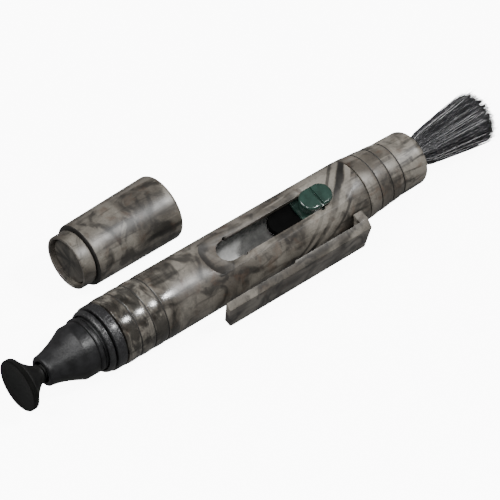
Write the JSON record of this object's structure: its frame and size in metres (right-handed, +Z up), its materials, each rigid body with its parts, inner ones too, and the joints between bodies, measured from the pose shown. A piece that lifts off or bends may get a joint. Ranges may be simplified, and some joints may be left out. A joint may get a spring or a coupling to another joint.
{
  "type": "lens cleaning pen",
  "caption": "Pen-shaped lens cleaner with a thumb slider that runs a soft brush out of one end, a trumpet-shaped cleaning tip, a pocket clip and its loose cap beside it.",
  "frame": {"origin": "on the surface that the pen and its cap lie on, under the centre of the whole layout's box", "axes": "+X along the pen from its cleaning tip to its brush, +Y from the pen towards the cap, +Z up"},
  "size_m": [0.1272, 0.0408, 0.0155],
  "materials": {
    "camo_plastic": "satin, printed in grey-brown bark-like camouflage",
    "cap_plastic": "satin, printed in grey-brown bark-like camouflage",
    "black_plastic": "satin black, lightly rough",
    "black_rubber": "matte black",
    "cleaning_cloth": "matte black, suede-like",
    "green_plastic": "dark green, smooth",
    "bristle": "fine dark grey hair with lighter hairs",
    "sponge": "black open foam charged with cleaning compound"
  },
  "bodies": {
    "barrel": {"barrel_shell": "camo_plastic", "brush_end_collar": "camo_plastic", "nose_cone": "black_plastic", "nose_seal_ring": "black_rubber", "front_band": "black_plastic", "tip_anchor_plug": "black_plastic"},
    "tip_neck": {"tip_neck_link": "black_rubber"},
    "tip": {"tip_head": "black_rubber", "cleaning_pad": "cleaning_cloth"},
    "brush": {"slider_button": "green_plastic", "brush_carrier": "green_plastic", "carrier_tail": "black_plastic", "ferrule_socket": "green_plastic", "brush_ferrule": "green_plastic", "bristle_tuft": "bristle"},
    "clip": {"pocket_clip": "camo_plastic"},
    "cap": {"cap_shell": "cap_plastic", "cap_end_collar": "cap_plastic", "cap_end_disc": "cap_plastic", "compound_cup": "black_plastic", "compound_sponge": "sponge"}
  },
  "joints": [
    {"name": "brush_slide", "type": "slide", "parent": "barrel", "child": "brush", "axis": [-1, 0, 0], "range_m": [0, 0.0207], "deforming": ["bristle_tuft"]},
    {"name": "neck_sway", "type": "hinge", "parent": "barrel", "child": "tip_neck", "pos_m": [-0.0556, -0.0093, 0.0075], "axis": [0, -0.2791, 0.9602], "range_deg": [-9, 9], "stiffness_Nm_per_rad": 0.006},
    {"name": "tip_nod", "type": "hinge", "parent": "tip_neck", "child": "tip", "pos_m": [-0.0577, -0.0093, 0.0075], "axis": [0, 0.9602, 0.2791], "range_deg": [-9, 9], "stiffness_Nm_per_rad": 0.006},
    {"name": "clip_spring", "type": "hinge", "parent": "barrel", "child": "clip", "pos_m": [0.02085, -0.01785, 0.00502], "axis": [0, -0.2791, 0.9602], "range_deg": [0, 4], "stiffness_Nm_per_rad": 0.3},
    {"name": "cap_lift", "type": "slide", "parent": "barrel", "child": "cap", "axis": [0, 0, 1], "range_m": [0, 0.06]}
  ]
}
